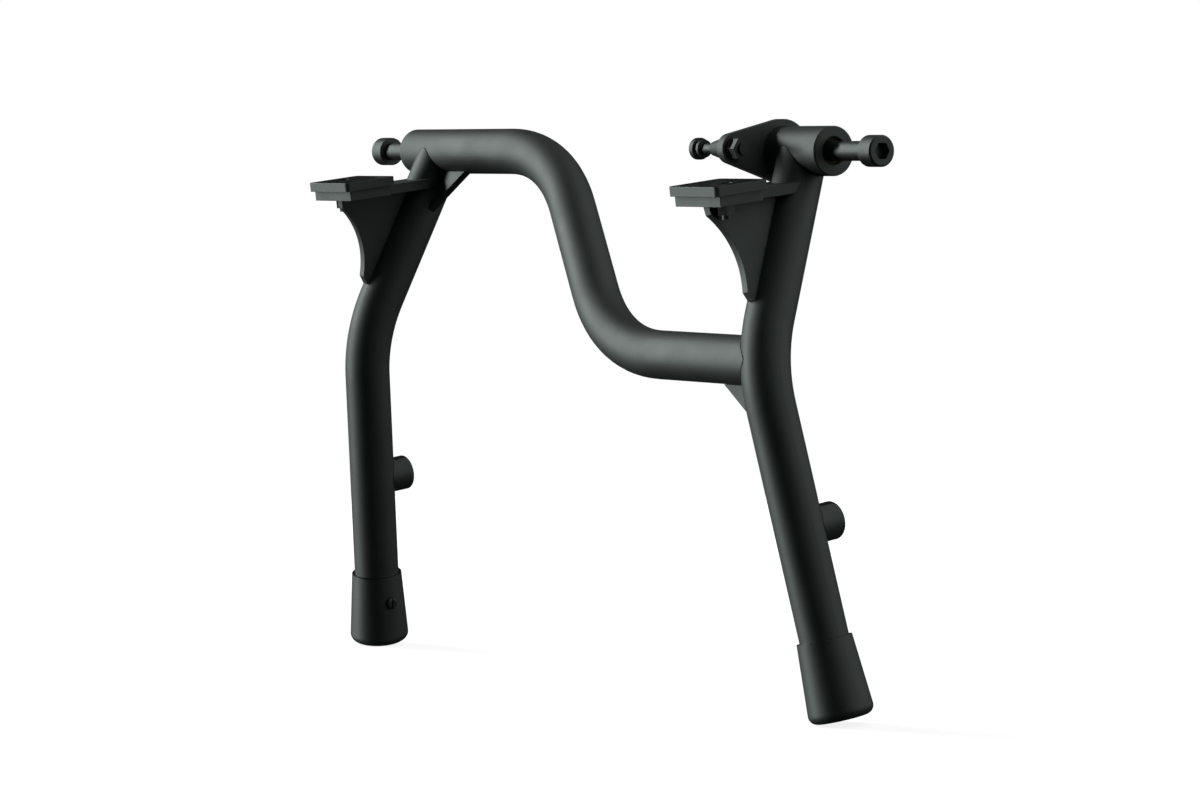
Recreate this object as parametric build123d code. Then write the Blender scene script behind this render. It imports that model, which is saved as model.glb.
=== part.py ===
from build123d import *
import os
from math import atan, cos, radians, sin, tan

# Two-legged centre stand, in millimetres. X runs along the pivot line, -Y is the front, where the
# stop pads reach, and Z is up. The origin is on the pivot line, half way between the legs. Pieces on
# the +X side are called right, and those with a mirrored partner are built there first.
os.makedirs("parts", exist_ok=True)

# Pivot line: half the distance between the outer ends of the tube and the bush, and the frame lug
# that each bolt clamps outside them
pivot_half_span = 197.2
lug_width = 29.4

# Pivot bolts
bolt_shank_diameter = 10.0
bolt_head_diameter = 16.0
bolt_head_height = 10.0
bolt_head_edge = 0.8
bolt_socket_width = 8.0
bolt_socket_depth = 5.0
bolt_engagement = 32.0
bolt_tip_chamfer = 1.0

# Bearing sleeves pressed into the bushes
sleeve_running_clearance = 0.05
sleeve_wall = 2.0
sleeve_length = 30.0
sleeve_recess = 2.0

# Right bush, turned, which reaches inside the leg's centre line, and left bush, a plug in the cross
# tube's end
bush_diameter = 25.4
bush_inside_reach = 21.7
bush_edge = 0.5
plug_length = 36.0
plug_fit = 0.05

# Cross tube: round, with two equal bends; the corners are where its straight runs would meet
tube_diameter = 25.4
tube_wall = 2.5
tube_bend_radius = 105.0
tube_upper_corner_x = -53.0
tube_lower_corner_x = 54.0
tube_end_trim = 2.0

# Legs: round tube, splayed sideways and bent once between an upper and a lower straight run; each
# crosses the pivot line a little inside the outer ends
leg_inset = 25.7
leg_splay = 10.0
leg_upper_lean = 20.7
leg_lower_lean = 8.8
leg_upper_run = 114.0
leg_lower_run = 176.2
leg_bend_radius = 90.0
leg_diameter = 25.4
leg_wall = 2.5
leg_top_trim = 2.5

# Gap left for the weld wherever a piece is cut to a round one
weld_gap = 0.1

# Corner gussets: how far each reaches from the corner of the two centre lines; the right one ends on
# the leg's lower run, at a station below the knee
gusset_thickness = 4.0
left_gusset_along_tube = 47.3
left_gusset_along_leg = 49.2
right_gusset_along_tube = 51.0
right_gusset_station = 46.0

# Stops: place of the bracket's top face under the middle of the pad, counted outward from where the
# leg crosses the pivot line, and its tilt, front end low
stop_outset = 5.25
stop_forward = 56.85
stop_drop = 20.9
stop_tilt = 7.2
pad_width = 41.5
pad_depth = 32.4
pad_thickness = 5.1
pad_corner_radius = 2.4
pad_edge = 0.3
bracket_thickness = 5.4
bracket_side_setback = 1.55
bracket_front_setback = 2.85
bracket_rear_setback = 2.15
bracket_corner_radius = 2.4
arm_width = 24.2
arm_inner_radius = 1.8
arm_end_forward = 11.2

# Pad screws, set outside the webs and in front of the pads' middle
pad_screw_outset = 7.9
pad_screw_forward = 2.2
pad_screw_diameter = 5.0
pad_screw_head_diameter = 9.0
pad_screw_head_height = 2.4
pad_screw_head_recess = 0.6
pad_screw_tip = 2.2
pad_nut_width = 8.0
pad_nut_height = 5.2
screw_hole_clearance = 0.2
pad_screw_socket_width = 3.0
pad_screw_socket_depth = 1.4

# Webs under the brackets, a little outside the legs' centre planes
web_thickness = 4.5
web_outset = 0.8
web_top_forward = 66.5
web_shoulder_forward = 64.0
web_shoulder_drop = 32.7
web_waist_forward = 46.1
web_waist_drop = 68.0
web_arc_radius = 44.7
web_nose_drop = 72.0
web_tail_forward = 43.2
web_tail_drop = 76.5

# Spring plate on the right bush's inner end, and the spring post on it
spring_plate_thickness = 5.0
spring_plate_ring = 3.7
spring_post_forward = 30.8
spring_post_rise = 1.2
spring_plate_tip_radius = 7.8
post_shoulder_diameter = 13.0
post_cone_first_diameter = 7.4
post_cone_length = 12.2
post_neck_diameter = 5.5
post_neck_length = 8.9
post_collar_diameter = 9.2
post_collar_length = 1.6
post_groove_length = 1.8
post_head_diameter = 11.3
post_head_length = 3.5
post_head_edge = 0.6
post_thread_diameter = 6.0
post_washer_diameter = 12.0
post_washer_thickness = 1.6
post_nut_width = 10.0
post_nut_height = 5.0
post_tip = 1.6

# Bumpers behind the legs
bumper_station = 86.0
bumper_diameter = 19.6
bumper_height = 10.4
bumper_edge = 2.0
bumper_pin_diameter = 8.0
bumper_pin_grip = 5.5
bumper_pin_inside = 1.5
bumper_pin_fit = 0.05

# Feet
foot_length = 41.0
foot_floor = 7.5
foot_rim_wall = 1.6
foot_base_wall = 4.4
foot_fit = 0.1
foot_edge_radius = 4.5
foot_screw_station = 15.0
foot_screw_diameter = 4.0
foot_screw_length = 7.5
foot_screw_head_diameter = 7.0
foot_screw_head_height = 2.4
foot_screw_seat_depth = 0.9
foot_screw_slot_width = 1.0
foot_screw_slot_depth = 0.9


def hexagon(width_across_flats):
    return RegularPolygon(width_across_flats / 2, 6, major_radius=False)


def along_x(x, forward=0.0, rise=0.0):
    """Plane across the pivot direction, facing +X, at a point in front of and above the pivot line."""
    return Plane(origin=(x, -forward, rise), x_dir=(0, 1, 0), z_dir=(1, 0, 0))


def turned_x(x, forward, rise, stations):
    """Turned piece along +X: stations are (length, first radius, last radius), laid end to end from x."""
    points = [(0, 0)]
    reach = 0.0
    for length, first, last in stations:
        if points[-1] != (reach, first):
            points.append((reach, first))
        reach += length
        points.append((reach, last))
    points.append((reach, 0))
    profile = make_face(Polyline(points, close=True))
    plane = Plane(origin=(x, -forward, rise), x_dir=(1, 0, 0), z_dir=(0, -1, 0))
    return revolve(plane * profile, axis=Axis((x, -forward, rise), (1, 0, 0)))


# Leg frame: +Y is its first direction, up along the splay its second, outward its third
leg_half_span = pivot_half_span - leg_inset
leg_out = Vector(cos(radians(leg_splay)), 0, sin(radians(leg_splay)))
leg_plane = Plane(origin=(leg_half_span, 0, 0), x_dir=(0, 1, 0), z_dir=leg_out)
upper_way = Vector(-sin(radians(leg_upper_lean)), -cos(radians(leg_upper_lean)))
lower_way = Vector(sin(radians(leg_lower_lean)), -cos(radians(leg_lower_lean)))
rear_way = Vector(cos(radians(leg_lower_lean)), sin(radians(leg_lower_lean)))
knee = upper_way * leg_upper_run
toe = knee + lower_way * leg_lower_run
ground = toe + lower_way * foot_floor
foot_rim = ground - lower_way * foot_length


def on_leg(point, out=0.0):
    """Point of the right leg's frame in the stand's frame."""
    return leg_plane.from_local_coords(Vector(point.X, point.Y, out))


def leg_direction(way):
    return on_leg(way) - on_leg(Vector(0, 0))


# The cross tube's lower run meets the right leg in the middle of its bend
half_turn = radians(leg_upper_lean + leg_lower_lean) / 2
bend_way = (lower_way - upper_way).normalized()
bend_middle = on_leg(knee + bend_way * leg_bend_radius * (1 / cos(half_turn) - 1))
tube_lean = atan(bend_middle.Y / bend_middle.Z)
tube_drop = -bend_middle.Z / cos(tube_lean)
tube_plane = Plane(origin=(0, 0, 0), x_dir=(1, 0, 0), z_dir=(0, -cos(tube_lean), sin(tube_lean)))


# Right leg's outer and inner forms, swept along the bent centre line
leg_path = leg_plane * FilletPolyline(upper_way * leg_top_trim, knee, toe, radius=leg_bend_radius)
leg_section = Plane(origin=leg_path @ 0, x_dir=leg_out, z_dir=leg_path % 0)
leg_outer = sweep(leg_section * Circle(leg_diameter / 2), path=leg_path)
leg_inner = sweep(leg_section * Circle(leg_diameter / 2 - leg_wall), path=leg_path)
leg_cut = sweep(leg_section * Circle(leg_diameter / 2 + weld_gap), path=leg_path)
left_leg_cut = mirror(leg_cut, about=Plane.YZ)

# Cross tube, from the left end on the pivot line down to the right leg's bend
tube_path = tube_plane * FilletPolyline(
    (-pivot_half_span, 0),
    (tube_upper_corner_x, 0),
    (tube_lower_corner_x, -tube_drop),
    (bend_middle.X - tube_end_trim, -tube_drop),
    radius=tube_bend_radius,
)
tube_start = Plane(origin=tube_path @ 0, x_dir=(0, 1, 0), z_dir=tube_path % 0)
tube_outer = sweep(tube_start * Circle(tube_diameter / 2), path=tube_path)
tube_inner = sweep(tube_start * Circle(tube_diameter / 2 - tube_wall), path=tube_path)
tube_cut = sweep(tube_start * Circle(tube_diameter / 2 + weld_gap), path=tube_path)
cross_tube = tube_outer - tube_inner - leg_cut

# Right bush with its bearing bore
sleeve_inner_diameter = bolt_shank_diameter + 2 * sleeve_running_clearance
sleeve_outer_diameter = sleeve_inner_diameter + 2 * sleeve_wall
bush_inner_x = leg_half_span - bush_inside_reach
bush_length = pivot_half_span - bush_inner_x
bush_outer = extrude(along_x(bush_inner_x) * Circle(bush_diameter / 2), bush_length)
bush_bore = extrude(along_x(bush_inner_x) * Circle(sleeve_outer_diameter / 2), bush_length)
bush_cut = extrude(along_x(bush_inner_x) * Circle(bush_diameter / 2 + weld_gap), bush_length)
right_pivot_bush = chamfer((bush_outer - bush_bore).edges().group_by(Axis.X)[-1], bush_edge)

# Left bush, a plug flush with the tube's end
plug_diameter = tube_diameter - 2 * tube_wall - 2 * plug_fit
plug_ring = Circle(plug_diameter / 2) - Circle(sleeve_outer_diameter / 2)
left_pivot_bush = extrude(along_x(-pivot_half_span) * plug_ring, plug_length)

# Bearing sleeves, set a little inside the end faces
sleeve_ring = Circle(sleeve_outer_diameter / 2) - Circle(sleeve_inner_diameter / 2)
sleeve_x = pivot_half_span - sleeve_recess - sleeve_length
right_bearing_sleeve = extrude(along_x(sleeve_x) * sleeve_ring, sleeve_length)

# Pivot bolts: head outside the lug, shank through the lug and into the sleeve
bolt_seat_x = pivot_half_span + lug_width
bolt_length = lug_width + bolt_engagement
bolt = turned_x(
    bolt_seat_x - bolt_length,
    0.0,
    0.0,
    (
        (bolt_tip_chamfer, bolt_shank_diameter / 2 - bolt_tip_chamfer, bolt_shank_diameter / 2),
        (bolt_length - bolt_tip_chamfer, bolt_shank_diameter / 2, bolt_shank_diameter / 2),
        (bolt_head_height - bolt_head_edge, bolt_head_diameter / 2, bolt_head_diameter / 2),
        (bolt_head_edge, bolt_head_diameter / 2, bolt_head_diameter / 2 - bolt_head_edge),
    ),
)
socket_plane = along_x(bolt_seat_x + bolt_head_height - bolt_socket_depth)
right_pivot_bolt = bolt - extrude(socket_plane * hexagon(bolt_socket_width), bolt_socket_depth)

# Legs: hollow, coped onto the bush and the tube, with holes for the bumper pin and the foot screw
bumper_plane = Plane(
    origin=on_leg(knee + lower_way * bumper_station),
    x_dir=leg_out,
    z_dir=leg_direction(rear_way),
)
pin_hole = extrude(bumper_plane * Circle(bumper_pin_diameter / 2 + bumper_pin_fit), leg_diameter)
foot_screw_point = foot_rim + lower_way * foot_screw_station
foot_draft = (foot_base_wall - foot_rim_wall) / foot_length
foot_screw_wall = foot_rim_wall + foot_draft * foot_screw_station
foot_screw_seat = leg_diameter / 2 + foot_screw_wall - foot_screw_seat_depth
foot_screw_plane = Plane(
    origin=on_leg(foot_screw_point, -foot_screw_seat),
    x_dir=(0, 1, 0),
    z_dir=-leg_out,
)
foot_screw_hole_radius = foot_screw_diameter / 2 + screw_hole_clearance
foot_screw_hole = extrude(foot_screw_plane * Circle(foot_screw_hole_radius), -leg_diameter / 2)
leg_tube = leg_outer - leg_inner - pin_hole - foot_screw_hole
right_leg = leg_tube - bush_cut
left_leg = mirror(leg_tube, about=Plane.YZ) - tube_cut

# Corner gussets, plates that hold both centre lines, cut to the tube and the legs
def gusset(plane, points):
    plate = extrude(plane * make_face(Polyline(points, close=True)), gusset_thickness / 2, both=True)
    return plate - tube_cut


leg_spread = tan(radians(leg_splay)) * cos(tube_lean)
left_corner = (-leg_half_span, 0)
left_gusset_points = (
    left_corner,
    (-leg_half_span + left_gusset_along_tube, 0),
    (-leg_half_span - leg_spread * left_gusset_along_leg, -left_gusset_along_leg),
)
left_corner_gusset = gusset(tube_plane, left_gusset_points) - left_leg_cut
right_gusset_reach = on_leg(knee + lower_way * right_gusset_station) - bend_middle
right_gusset_drop = Vector(0, right_gusset_reach.Y, right_gusset_reach.Z)
right_gusset_plane = Plane(
    origin=bend_middle,
    x_dir=(1, 0, 0),
    z_dir=right_gusset_drop.cross(Vector(1, 0, 0)),
)
right_gusset_points = (
    (0, 0),
    (-right_gusset_along_tube, 0),
    (right_gusset_reach.X, -right_gusset_drop.length),
)
right_corner_gusset = gusset(right_gusset_plane, right_gusset_points) - leg_cut

# Stop bracket: a plate in the stop's tilted plane, wide under the pad, with an arm that is notched
# round the leg and centred on it there; its corners stay within the shoulder beside the arm
tilt = radians(stop_tilt)
stop_half_span = leg_half_span + stop_outset
stop_plane = Plane(
    origin=(stop_half_span, -stop_forward, -stop_drop),
    x_dir=(1, 0, 0),
    z_dir=(0, -sin(tilt), cos(tilt)),
)
bracket_front = -pad_depth / 2 + bracket_front_setback
bracket_back = pad_depth / 2 - bracket_rear_setback
arm_back = (stop_forward - arm_end_forward) / cos(tilt)
arm_end_drop = stop_drop - tan(tilt) * (stop_forward - arm_end_forward)
arm_centre = leg_half_span + tan(radians(leg_splay)) * arm_end_drop - stop_half_span
bracket_width = pad_width - 2 * bracket_side_setback
bracket_depth = bracket_back - bracket_front
bracket_head = Pos(0, bracket_back - bracket_depth / 2) * Rectangle(bracket_width, bracket_depth)
arm_shoulder = (bracket_width - arm_width) / 2 - abs(arm_centre)
head_radius = min(bracket_corner_radius, 0.55 * arm_shoulder)
bracket_head = fillet(bracket_head.vertices().group_by(Axis.Y)[-1], head_radius)
bracket_arm = Pos(arm_centre, arm_back / 2) * Rectangle(arm_width, arm_back)
bracket_outline = bracket_head + bracket_arm
arm_roots = [v for v in bracket_outline.vertices() if abs(v.Y - bracket_back) < 0.1]
arm_roots = [v for v in arm_roots if abs(abs(v.X - arm_centre) - arm_width / 2) < 0.1]
bracket_outline = fillet(arm_roots, min(arm_inner_radius, 0.4 * arm_shoulder))
pad_screw_place = Pos(pad_screw_outset, -pad_screw_forward)
pad_screw_hole = pad_screw_place * Circle(pad_screw_diameter / 2 + screw_hole_clearance)
bracket_plate = extrude(stop_plane * (bracket_outline - pad_screw_hole), -bracket_thickness)
right_stop_bracket = bracket_plate - leg_cut

# Stop pad, rubber, with rounded corners and a recessed hole for its screw
pad_outline = RectangleRounded(pad_width, pad_depth, pad_corner_radius)
pad_block = extrude(stop_plane * pad_outline, pad_thickness)
pad_face = pad_block.faces().sort_by(Axis(stop_plane.origin, stop_plane.z_dir))[-1]
pad_block = fillet(pad_face.edges(), pad_edge)
pad_top = stop_plane.offset(pad_thickness)
pad_seat_depth = pad_screw_head_height + pad_screw_head_recess
pad_recess_circle = Circle(pad_screw_head_diameter / 2 + screw_hole_clearance)
pad_recess = extrude(pad_top * pad_screw_place * pad_recess_circle, -pad_seat_depth)
right_stop_pad = pad_block - extrude(stop_plane * pad_screw_hole, pad_thickness) - pad_recess

# Pad screw with its nut under the bracket
pad_screw_grip = pad_thickness - pad_seat_depth + bracket_thickness
pad_screw_length = pad_screw_grip + pad_nut_height + pad_screw_tip
pad_seat_plane = pad_top.offset(-pad_seat_depth)
pad_screw_seat = pad_seat_plane * pad_screw_place
pad_screw_head = extrude(pad_screw_seat * Circle(pad_screw_head_diameter / 2), pad_screw_head_height)
pad_screw_shank = extrude(pad_screw_seat * Circle(pad_screw_diameter / 2), -pad_screw_length)
pad_socket_plane = pad_seat_plane.offset(pad_screw_head_height - pad_screw_socket_depth)
pad_screw_socket = extrude(
    pad_socket_plane * pad_screw_place * hexagon(pad_screw_socket_width),
    pad_screw_socket_depth,
)
right_pad_screw = pad_screw_head + pad_screw_shank - pad_screw_socket
pad_nut_outline = Rot(0, 0, 30) * hexagon(pad_nut_width) - Circle(pad_screw_diameter / 2)
right_pad_nut = extrude(
    stop_plane.offset(-bracket_thickness) * pad_screw_place * pad_nut_outline,
    -pad_nut_height,
)

# Web: a plate along the leg's plane with a hollow front edge, cut to the leg and the bracket's underside
web_top = (-web_top_forward, -stop_drop)
web_shoulder = (-web_shoulder_forward, -web_shoulder_drop)
web_waist = (-web_waist_forward, -web_waist_drop)
web_nose = (-web_waist_forward, -web_nose_drop)
web_tail = (-web_tail_forward, -web_tail_drop)
web_inside = upper_way * web_tail_drop
web_curve = (
    Line(web_top, web_shoulder)
    + RadiusArc(web_shoulder, web_waist, web_arc_radius)
    + Polyline(web_waist, web_nose, web_tail, web_inside, (0, -stop_drop), web_top)
)
web_plane = leg_plane.offset(web_outset)
web_plate = extrude(web_plane * make_face(web_curve), web_thickness / 2, both=True)
above_bracket = extrude(
    stop_plane.offset(-bracket_thickness) * Rectangle(4 * pad_width, 8 * pad_depth),
    4 * pad_width,
)
right_web = web_plate - leg_cut - above_bracket

# Spring plate round the bush's inner end
plate_big_radius = bush_diameter / 2 + spring_plate_ring
plate_outline = make_hull(
    [
        Circle(plate_big_radius).edge(),
        (Pos(-spring_post_forward, spring_post_rise) * Circle(spring_plate_tip_radius)).edge(),
    ]
)
post_hole = Circle(post_thread_diameter / 2 + screw_hole_clearance)
plate_holes = Circle(bush_diameter / 2 + weld_gap) + Pos(-spring_post_forward, spring_post_rise) * post_hole
spring_plate = extrude(along_x(bush_inner_x) * (plate_outline - plate_holes), spring_plate_thickness)

# Spring post: head, groove, collar, neck and cone inside the plate, thread through it
post_inside = (
    (post_head_edge, post_head_diameter / 2 - post_head_edge, post_head_diameter / 2),
    (post_head_length - post_head_edge, post_head_diameter / 2, post_head_diameter / 2),
    (post_groove_length, post_neck_diameter / 2, post_neck_diameter / 2),
    (post_collar_length, post_collar_diameter / 2, post_collar_diameter / 2),
    (post_neck_length, post_neck_diameter / 2, post_neck_diameter / 2),
    (post_cone_length, post_cone_first_diameter / 2, post_shoulder_diameter / 2),
)
post_inside_length = sum(length for length, first, last in post_inside)
post_thread_length = spring_plate_thickness + post_washer_thickness + post_nut_height + post_tip
post_thread = ((post_thread_length, post_thread_diameter / 2, post_thread_diameter / 2),)
spring_post = turned_x(
    bush_inner_x - post_inside_length,
    spring_post_forward,
    spring_post_rise,
    post_inside + post_thread,
)
washer_x = bush_inner_x + spring_plate_thickness
washer_plane = along_x(washer_x, spring_post_forward, spring_post_rise)
washer_ring = Circle(post_washer_diameter / 2) - post_hole
spring_post_washer = extrude(washer_plane * washer_ring, post_washer_thickness)
nut_outline = hexagon(post_nut_width) - Circle(post_thread_diameter / 2)
spring_post_nut = extrude(washer_plane.offset(post_washer_thickness) * nut_outline, post_nut_height)

# Bumper, a rubber button on a pin through the leg's rear wall
bumper_reach = leg_diameter / 2 + bumper_height
bumper_block = extrude(bumper_plane * Circle(bumper_diameter / 2), bumper_reach)
bumper_rim = bumper_block.edges().sort_by(Axis(bumper_plane.origin, bumper_plane.z_dir))[-1]
bumper_block = fillet(bumper_rim, bumper_edge)
pin_start = leg_diameter / 2 - leg_wall - bumper_pin_inside
pin_length = leg_wall + bumper_pin_inside + bumper_pin_grip
pin_plane = bumper_plane.offset(pin_start)
right_bumper_pin = extrude(pin_plane * Circle(bumper_pin_diameter / 2), pin_length)
pin_bore = extrude(pin_plane * Circle(bumper_pin_diameter / 2 + bumper_pin_fit), pin_length)
right_bumper = bumper_block - leg_cut - pin_bore

# Foot: a flared rubber cap with a rounded bottom edge, pushed over the leg's end
foot_top = Plane(origin=on_leg(foot_rim), x_dir=leg_out, z_dir=leg_direction(lower_way))
foot_base = foot_top.offset(foot_length)
foot_block = loft(
    [
        foot_top * Circle(leg_diameter / 2 + foot_rim_wall),
        foot_base * Circle(leg_diameter / 2 + foot_base_wall),
    ],
    ruled=True,
)
foot_bottom = foot_block.faces().sort_by(Axis(foot_base.origin, foot_base.z_dir))[-1]
foot_block = fillet(foot_bottom.edges(), foot_edge_radius)
foot_pocket = extrude(
    foot_top * Circle(leg_diameter / 2 + foot_fit),
    foot_length - foot_floor,
)
foot_screw_seat_hole = extrude(
    foot_screw_plane * Circle(foot_screw_head_diameter / 2 + screw_hole_clearance),
    foot_screw_head_height,
)
right_foot = foot_block - foot_pocket - foot_screw_hole - foot_screw_seat_hole

# Foot screw: domed head with a slot, seated in the foot's wall and screwed into the leg's
head_disc = extrude(foot_screw_plane * Circle(foot_screw_head_diameter / 2), foot_screw_head_height)
head_rim = head_disc.edges().sort_by(Axis(foot_screw_plane.origin, foot_screw_plane.z_dir))[-1]
head_dome = fillet(head_rim, foot_screw_head_height - foot_screw_seat_depth)
screw_shank = extrude(foot_screw_plane * Circle(foot_screw_diameter / 2), -foot_screw_length)
slot_plane = foot_screw_plane.offset(foot_screw_head_height - foot_screw_slot_depth)
screw_slot = extrude(
    slot_plane * Rectangle(foot_screw_slot_width, foot_screw_head_diameter),
    foot_screw_slot_depth,
)
right_foot_screw = head_dome + screw_shank - screw_slot

# Pieces that stand by themselves, and pieces with a mirrored partner on the other side
single_pieces = {
    "left_leg": left_leg,
    "right_leg": right_leg,
    "cross_tube": cross_tube,
    "left_pivot_bush": left_pivot_bush,
    "right_pivot_bush": right_pivot_bush,
    "left_corner_gusset": left_corner_gusset,
    "right_corner_gusset": right_corner_gusset,
    "spring_plate": spring_plate,
    "spring_post": spring_post,
    "spring_post_washer": spring_post_washer,
    "spring_post_nut": spring_post_nut,
}
paired_pieces = {
    "pivot_bolt": right_pivot_bolt,
    "bearing_sleeve": right_bearing_sleeve,
    "stop_bracket": right_stop_bracket,
    "web": right_web,
    "stop_pad": right_stop_pad,
    "pad_screw": right_pad_screw,
    "pad_nut": right_pad_nut,
    "bumper": right_bumper,
    "bumper_pin": right_bumper_pin,
    "foot": right_foot,
    "foot_screw": right_foot_screw,
}
for name, piece in single_pieces.items():
    export_step(piece, f"parts/{name}.step")
for name, piece in paired_pieces.items():
    export_step(piece, f"parts/right_{name}.step")
    export_step(mirror(piece, about=Plane.YZ), f"parts/left_{name}.step")
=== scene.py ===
import math

import bpy
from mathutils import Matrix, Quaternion, Vector


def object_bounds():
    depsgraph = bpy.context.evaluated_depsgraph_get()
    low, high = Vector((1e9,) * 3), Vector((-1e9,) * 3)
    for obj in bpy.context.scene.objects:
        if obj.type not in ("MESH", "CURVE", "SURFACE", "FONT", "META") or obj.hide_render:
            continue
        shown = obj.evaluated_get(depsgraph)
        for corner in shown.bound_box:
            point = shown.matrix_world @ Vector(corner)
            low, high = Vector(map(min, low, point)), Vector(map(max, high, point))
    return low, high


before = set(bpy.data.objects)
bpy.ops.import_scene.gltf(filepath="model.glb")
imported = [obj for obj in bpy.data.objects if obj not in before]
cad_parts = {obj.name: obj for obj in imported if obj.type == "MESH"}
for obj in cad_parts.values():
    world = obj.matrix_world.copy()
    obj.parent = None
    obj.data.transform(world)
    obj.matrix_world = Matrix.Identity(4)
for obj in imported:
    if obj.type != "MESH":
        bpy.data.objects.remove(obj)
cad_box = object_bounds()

# Cross tube: one-inch round steel tube, bent cold in two equal bends and welded to both legs.
# The whole frame is blasted and powder coated in a satin grey-black after welding.


def linear(hex_colour):
    """Linear colour with alpha from an sRGB hex value."""
    channels = [int(hex_colour[i : i + 2], 16) / 255 for i in (1, 3, 5)]
    return [c / 12.92 if c <= 0.04045 else ((c + 0.055) / 1.055) ** 2.4 for c in channels] + [1.0]


def add_node(tree, kind, inputs=None, **settings):
    """Adds a node, gives it its settings, and fills or links its inputs."""
    node = tree.nodes.new(kind)
    for name, value in settings.items():
        setattr(node, name, value)
    for name, value in (inputs or {}).items():
        if isinstance(value, bpy.types.NodeSocket):
            tree.links.new(value, node.inputs[name])
        else:
            node.inputs[name].default_value = value
    return node


def finish_node(node_name, material):
    """Gives a CAD node its finish."""
    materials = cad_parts[node_name].data.materials
    materials.clear()
    materials.append(material)


# Satin polyester powder coat: melted powder levels to a faint orange peel about 1.5 mm across,
# which spreads its cool grey highlights. It is a little duller in broad patches, and it rounds the
# sharp edges of cut plates.
mm = 0.001
coat_peel = 1.5 * mm
coat_peel_height = 0.2 * mm
coat_mottle = 18.0 * mm
coat_edge = 0.4 * mm
coat_roughness_low, coat_roughness_high = 0.56, 0.62
noise_low, noise_high = 0.3, 0.7  # most of a noise's values lie between these
powder_coat = bpy.data.materials.new("satin_powder_coat")
powder_coat.use_nodes = True
tree = powder_coat.node_tree
tree.nodes.clear()
place = add_node(tree, "ShaderNodeTexCoord").outputs["Object"]
mottle = add_node(
    tree, "ShaderNodeTexNoise", {"Vector": place, "Scale": 1 / coat_mottle, "Detail": 3.0}
).outputs["Fac"]
peel = add_node(
    tree, "ShaderNodeTexNoise", {"Vector": place, "Scale": 1 / coat_peel, "Detail": 1.0}
).outputs["Fac"]
coat_tone = add_node(tree, "ShaderNodeValToRGB", {"Fac": mottle})
coat_tone.color_ramp.elements[0].position = noise_low
coat_tone.color_ramp.elements[0].color = linear("#262a28")
coat_tone.color_ramp.elements[1].position = noise_high
coat_tone.color_ramp.elements[1].color = linear("#2e3230")
coat_gloss = add_node(
    tree,
    "ShaderNodeMapRange",
    {
        "Value": mottle,
        "From Min": noise_low,
        "From Max": noise_high,
        "To Min": coat_roughness_low,
        "To Max": coat_roughness_high,
    },
)
soft_edge = add_node(tree, "ShaderNodeBevel", {"Radius": coat_edge}, samples=4)
bumps = add_node(
    tree,
    "ShaderNodeBump",
    {
        "Height": peel,
        "Strength": 0.10,
        "Distance": coat_peel_height,
        "Normal": soft_edge.outputs["Normal"],
    },
)
surface = add_node(
    tree,
    "ShaderNodeBsdfPrincipled",
    {
        "Base Color": coat_tone.outputs["Color"],
        "Roughness": coat_gloss.outputs["Result"],
        "Specular IOR Level": 1.0,
        "Specular Tint": linear("#edfff9"),
        "Normal": bumps.outputs["Normal"],
    },
)
add_node(tree, "ShaderNodeOutputMaterial", {"Surface": surface.outputs["BSDF"]})
finish_node("cross_tube", powder_coat)

# Legs: round steel tube of the same size, bent once at the knee. Each is coped at the top and
# welded, the right one to its pivot bush and the left one to the end of the cross tube.
for side in ("left", "right"):
    finish_node(f"{side}_leg", powder_coat)

# Pivot bushes: turned steel, bored for the bearings. The right one is welded across the top of the
# right leg, and the left one is a plug welded in the open end of the cross tube.
for side in ("left", "right"):
    finish_node(f"{side}_pivot_bush", powder_coat)

# Corner gussets: small triangles cut from 4 mm steel plate. They are welded in the corners where
# the cross tube meets the legs, and keep the legs from folding sideways.
for side in ("left", "right"):
    finish_node(f"{side}_corner_gusset", powder_coat)

# Stop brackets and webs: laser-cut steel plates, welded on. The bracket carries the stop pad and is
# notched round the leg, and the web braces its underside against the front of the leg.
for side in ("left", "right"):
    finish_node(f"{side}_stop_bracket", powder_coat)
    finish_node(f"{side}_web", powder_coat)

# Spring plate: a tear-shaped plate cut from 5 mm steel and welded round the inner end of the right
# bush. Its narrow end carries the spring post.
finish_node("spring_plate", powder_coat)

# Bearing sleeves: sintered bronze, pressed into the bushes a little below their end faces. Bronze
# that is soaked with oil shows as a dull, nearly black brown, speckled with pores. The pores are
# really some hundredths of a millimetre wide, and are drawn coarser here so that they show.
sleeve_pore = 0.6 * mm
pore_level, bronze_level = 0.35, 0.6  # noise values that show as a pore and as the bronze round it
sintered_bronze = bpy.data.materials.new("sintered_bronze")
sintered_bronze.use_nodes = True
tree = sintered_bronze.node_tree
tree.nodes.clear()
place = add_node(tree, "ShaderNodeTexCoord").outputs["Object"]
pores = add_node(
    tree, "ShaderNodeTexNoise", {"Vector": place, "Scale": 1 / sleeve_pore, "Detail": 2.0}
).outputs["Fac"]
bronze_tone = add_node(tree, "ShaderNodeValToRGB", {"Fac": pores})
bronze_tone.color_ramp.elements[0].position = pore_level
bronze_tone.color_ramp.elements[0].color = linear("#231d17")
bronze_tone.color_ramp.elements[1].position = bronze_level
bronze_tone.color_ramp.elements[1].color = linear("#382e22")
surface = add_node(
    tree,
    "ShaderNodeBsdfPrincipled",
    {"Base Color": bronze_tone.outputs["Color"], "Metallic": 1.0, "Roughness": 0.55},
)
add_node(tree, "ShaderNodeOutputMaterial", {"Surface": surface.outputs["BSDF"]})
for side in ("left", "right"):
    finish_node(f"{side}_bearing_sleeve", sintered_bronze)

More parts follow.
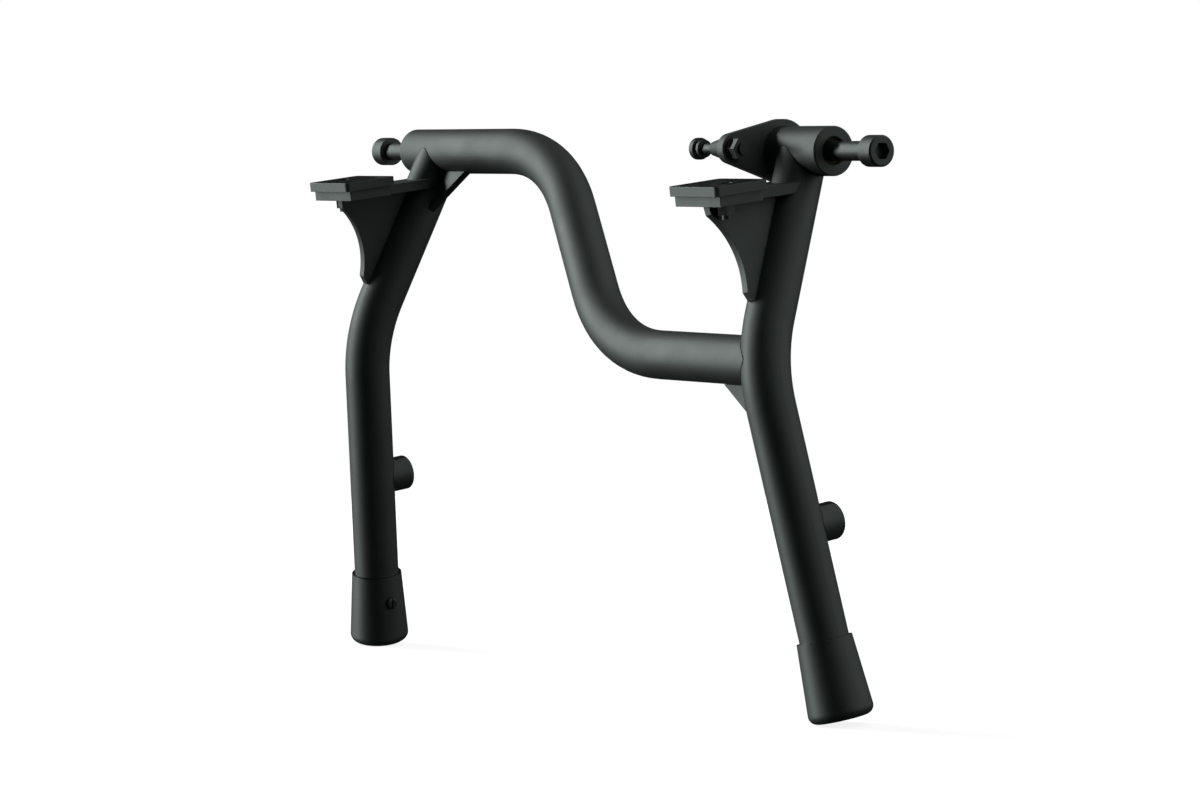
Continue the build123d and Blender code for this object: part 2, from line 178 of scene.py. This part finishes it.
# Pivot bolts: M10 socket-head bolts, cold headed and turned, through the frame's lugs into the
# sleeves. Black oxide on steel is a thin dark skin, so the metal's own gloss shows through it, in
# patches a few millimetres wide that are a little lighter or duller.
oxide_patch = 4.0 * mm
oxide_roughness_low, oxide_roughness_high = 0.52, 0.60
black_oxide = bpy.data.materials.new("black_oxide_steel")
black_oxide.use_nodes = True
tree = black_oxide.node_tree
tree.nodes.clear()
place = add_node(tree, "ShaderNodeTexCoord").outputs["Object"]
patches = add_node(
    tree, "ShaderNodeTexNoise", {"Vector": place, "Scale": 1 / oxide_patch, "Detail": 4.0}
).outputs["Fac"]
oxide_tone = add_node(tree, "ShaderNodeValToRGB", {"Fac": patches})
oxide_tone.color_ramp.elements[0].position = noise_low
oxide_tone.color_ramp.elements[0].color = linear("#4e5452")
oxide_tone.color_ramp.elements[1].position = noise_high
oxide_tone.color_ramp.elements[1].color = linear("#585e5c")
oxide_gloss = add_node(
    tree,
    "ShaderNodeMapRange",
    {
        "Value": patches,
        "From Min": noise_low,
        "From Max": noise_high,
        "To Min": oxide_roughness_low,
        "To Max": oxide_roughness_high,
    },
)
surface = add_node(
    tree,
    "ShaderNodeBsdfPrincipled",
    {
        "Base Color": oxide_tone.outputs["Color"],
        "Metallic": 1.0,
        "Roughness": oxide_gloss.outputs["Result"],
    },
)
add_node(tree, "ShaderNodeOutputMaterial", {"Surface": surface.outputs["BSDF"]})
for side in ("left", "right"):
    finish_node(f"{side}_pivot_bolt", black_oxide)

# Spring post: a turned steel peg with a grooved head for the spring's eye. A washer and a nut hold
# it in the plate, and all three have the same black oxide as the bolts.
for part in ("spring_post", "spring_post_washer", "spring_post_nut"):
    finish_node(part, black_oxide)

# Stop pads: moulded rubber blocks that meet the vehicle's frame when the stand is down. Each is
# held on its bracket by a sunk M5 screw and a nut below.

# Moulded rubber, filled with carbon black: matte, with a grain from the blasted mould and a slight
# grey bloom. The grain is really about 0.1 mm, and is drawn coarser here so that it shows. Faces
# that look up, the pads' tops above all, are rubbed smoother and carry a painted shade that darkens
# them.
rubber_grain = 0.8 * mm
rubber_grain_height = 0.2 * mm
rubber_bloom = 12.0 * mm
moulded_roughness, rubbed_roughness = 0.58, 0.32
top_shade_from, top_shade_full = 0.8, 0.92  # how far up a face looks, where 1 is straight up
moulded_rubber = bpy.data.materials.new("moulded_black_rubber")
moulded_rubber.use_nodes = True
tree = moulded_rubber.node_tree
tree.nodes.clear()
texture_place = add_node(tree, "ShaderNodeTexCoord")
place = texture_place.outputs["Object"]
bloom = add_node(
    tree, "ShaderNodeTexNoise", {"Vector": place, "Scale": 1 / rubber_bloom, "Detail": 4.0}
).outputs["Fac"]
grain = add_node(
    tree, "ShaderNodeTexNoise", {"Vector": place, "Scale": 1 / rubber_grain, "Detail": 2.0}
).outputs["Fac"]
rubber_tone = add_node(tree, "ShaderNodeValToRGB", {"Fac": bloom})
rubber_tone.color_ramp.elements[0].position = noise_low
rubber_tone.color_ramp.elements[0].color = linear("#262a28")
rubber_tone.color_ramp.elements[1].position = noise_high
rubber_tone.color_ramp.elements[1].color = linear("#303432")
facing = add_node(tree, "ShaderNodeSeparateXYZ", {"Vector": texture_place.outputs["Normal"]})
# How far a face looks up. This sets both its smoothness and its painted shade.
top_shade_and_smoothing = add_node(
    tree,
    "ShaderNodeMapRange",
    {"Value": facing.outputs["Z"], "From Min": top_shade_from, "From Max": top_shade_full},
).outputs["Result"]
rubber_gloss = add_node(
    tree,
    "ShaderNodeMapRange",
    {"Value": top_shade_and_smoothing, "To Min": moulded_roughness, "To Max": rubbed_roughness},
)
# Painted shade: faces that look up are mixed toward the near-black #0c0d0d.
rubber_tone_and_top_shade = add_node(  # a colour mix has its colours at inputs 6 and 7 and output 2
    tree,
    "ShaderNodeMix",
    {0: top_shade_and_smoothing, 6: rubber_tone.outputs["Color"], 7: linear("#0c0d0d")},
    data_type="RGBA",
).outputs[2]
soft_edge = add_node(tree, "ShaderNodeBevel", {"Radius": coat_edge}, samples=4)
bumps = add_node(
    tree,
    "ShaderNodeBump",
    {
        "Height": grain,
        "Strength": 0.15,
        "Distance": rubber_grain_height,
        "Normal": soft_edge.outputs["Normal"],
    },
)
surface = add_node(
    tree,
    "ShaderNodeBsdfPrincipled",
    {
        "Base Color": rubber_tone_and_top_shade,
        "Roughness": rubber_gloss.outputs["Result"],
        "Specular IOR Level": 1.0,
        "Specular Tint": linear("#edfff9"),
        "Normal": bumps.outputs["Normal"],
    },
)
add_node(tree, "ShaderNodeOutputMaterial", {"Surface": surface.outputs["BSDF"]})
for side in ("left", "right"):
    finish_node(f"{side}_stop_pad", moulded_rubber)
    finish_node(f"{side}_pad_screw", black_oxide)
    finish_node(f"{side}_pad_nut", black_oxide)

# Bumpers: rubber buttons moulded on steel pins, which are pushed through the rear wall of each leg.
# They keep the raised stand from knocking against the vehicle.
for side in ("left", "right"):
    finish_node(f"{side}_bumper", moulded_rubber)
    finish_node(f"{side}_bumper_pin", black_oxide)

# Feet: flared caps moulded in the same rubber and pushed over the legs' ends. Each is held by a
# slotted screw from the inner side.
for side in ("left", "right"):
    finish_node(f"{side}_foot", moulded_rubber)
    finish_node(f"{side}_foot_screw", black_oxide)

# Floor: a round sheet of white studio paper under the feet. The camera sees it as white with a
# faint shadow near the stand, and it glows more towards its edge, where the shadow fades out.
floor_radius = 1.3
floor_sides = 96
shadow_full, shadow_gone = 0.3, 0.9  # distance from the middle of the floor
glow_near, glow_far = 0.85, 1.0
floor_rim = [2 * math.pi * i / floor_sides for i in range(floor_sides)]
floor_mesh = bpy.data.meshes.new("studio_floor")
floor_mesh.from_pydata(
    [(floor_radius * math.cos(a), floor_radius * math.sin(a), 0.0) for a in floor_rim],
    [],
    [tuple(range(floor_sides))],
)
floor = bpy.data.objects.new("studio_floor", floor_mesh)
floor.location = (0.0, 0.0, cad_box[0][2])
bpy.context.scene.collection.objects.link(floor)
floor.visible_shadow = False

# Reflections see a hundredth of the white that the camera sees, because the full white would turn
# the stand's satin black grey along every edge.
reflected_share = 0.01


def share_seen(tree):
    """How much of the white a ray sees: all for the camera and through clear things."""
    path = add_node(tree, "ShaderNodeLightPath")
    direct = add_node(
        tree,
        "ShaderNodeMath",
        {0: path.outputs["Is Camera Ray"], 1: path.outputs["Is Transmission Ray"]},
        operation="MAXIMUM",
    )
    reflected = add_node(
        tree,
        "ShaderNodeMath",
        {0: path.outputs["Is Glossy Ray"], 1: reflected_share},
        operation="MULTIPLY",
    )
    return add_node(
        tree,
        "ShaderNodeMath",
        {0: direct.outputs[0], 1: reflected.outputs[0]},
        operation="MAXIMUM",
    ).outputs[0]


# Matte white paper: it shows its own glow with the lamps' light on top, so that only a faint shadow
# is left where the stand keeps them off. To the stand it is dark, and throws hardly any light back.
white_paper = bpy.data.materials.new("white_studio_paper")
white_paper.use_nodes = True
tree = white_paper.node_tree
tree.nodes.clear()
seen = share_seen(tree)
place = add_node(tree, "ShaderNodeTexCoord").outputs["Object"]
from_middle = add_node(tree, "ShaderNodeVectorMath", {0: place}, operation="LENGTH")
paper_glow = add_node(
    tree,
    "ShaderNodeMapRange",
    {
        "Value": from_middle.outputs["Value"],
        "From Min": shadow_full,
        "From Max": shadow_gone,
        "To Min": glow_near,
        "To Max": glow_far,
    },
)
glow = add_node(
    tree,
    "ShaderNodeEmission",
    {"Color": linear("#ffffff"), "Strength": paper_glow.outputs["Result"]},
)
lamplight = add_node(tree, "ShaderNodeBsdfDiffuse", {"Color": linear("#bcbcbc")})
shown_paper = add_node(tree, "ShaderNodeAddShader", {0: glow.outputs[0], 1: lamplight.outputs[0]})
dark_paper = add_node(tree, "ShaderNodeBsdfDiffuse", {"Color": linear("#202020")})
paper = add_node(
    tree,
    "ShaderNodeMixShader",
    {0: seen, 1: dark_paper.outputs[0], 2: shown_paper.outputs[0]},
)
add_node(tree, "ShaderNodeOutputMaterial", {"Surface": paper.outputs[0]})
floor_mesh.materials.append(white_paper)

# Surroundings: a plain white room, seen as white by the camera. It is nearly dark where it lights
# the stand, so that the two lamps alone give the light and shade.
room_dim, room_white = 0.01, 1.0
world = bpy.data.worlds.new("white_studio")
bpy.context.scene.world = world
world.use_nodes = True
tree = world.node_tree
tree.nodes.clear()
seen = share_seen(tree)
dim_room = add_node(
    tree, "ShaderNodeBackground", {"Color": linear("#ffffff"), "Strength": room_dim}
)
white_room = add_node(
    tree, "ShaderNodeBackground", {"Color": linear("#ffffff"), "Strength": room_white}
)
room = add_node(
    tree,
    "ShaderNodeMixShader",
    {0: seen, 1: dim_room.outputs[0], 2: white_room.outputs[0]},
)
add_node(tree, "ShaderNodeOutputWorld", {"Surface": room.outputs[0]})

# Lamps: a long strip from the left, leaning over the stand, which shows a facing surface about as
# its colour is written, and a wide soft panel from behind on the right, at a third of that. The
# floor stops none of their light, so that the strip's lower end lights the stand from below.
stand_middle = Vector((0.0, -0.01, -0.135))
# Turn, height and lean in degrees, then reach, width and length in metres.
for name, round_from_front, height, lean, reach, width, length, brightness in (
    ("key_strip", -54.0, 13.0, 30.0, 8.0, 0.6, 11.0, 36.0),
    ("fill_panel", 138.0, 37.5, 0.0, 3.0, 6.0, 7.0, 0.55),
):
    turn, rise = math.radians(round_from_front), math.radians(height)
    toward = Vector(
        (math.sin(turn) * math.cos(rise), -math.cos(turn) * math.cos(rise), math.sin(rise))
    )
    lamp = bpy.data.lights.new(name, "AREA")
    lamp.shape = "RECTANGLE"
    lamp.size = width
    lamp.size_y = length
    lamp.energy = brightness * math.pi * width * length  # 1 gives the lamp's face the room's white
    lamp_object = bpy.data.objects.new(name, lamp)
    lamp_object.location = stand_middle + toward * reach
    lamp_object.rotation_mode = "QUATERNION"
    lamp_object.rotation_quaternion = toward.to_track_quat("Z", "Y") @ Quaternion(
        (0.0, 0.0, 1.0), math.radians(lean)
    )
    lamp_object.visible_camera = False
    bpy.context.scene.collection.objects.link(lamp_object)

# Camera: from the front right, level with the pivot line and looking slightly down, with a long
# lens. Its place was worked out from pairs of like points on the two sides of the stand.
camera_data = bpy.data.cameras.new("photo_camera")
camera_data.sensor_width = 36.0
camera_data.lens = 132.0
camera = bpy.data.objects.new("photo_camera", camera_data)
camera.location = (1.9613, -1.3471, -0.0020)
camera_aim = Vector((0.0025, -0.0096, -0.1341))
camera.rotation_euler = (camera.location - camera_aim).to_track_quat("Z", "Y").to_euler()
bpy.context.scene.collection.objects.link(camera)
bpy.context.scene.camera = camera
bpy.context.scene.view_settings.view_transform = "Standard"
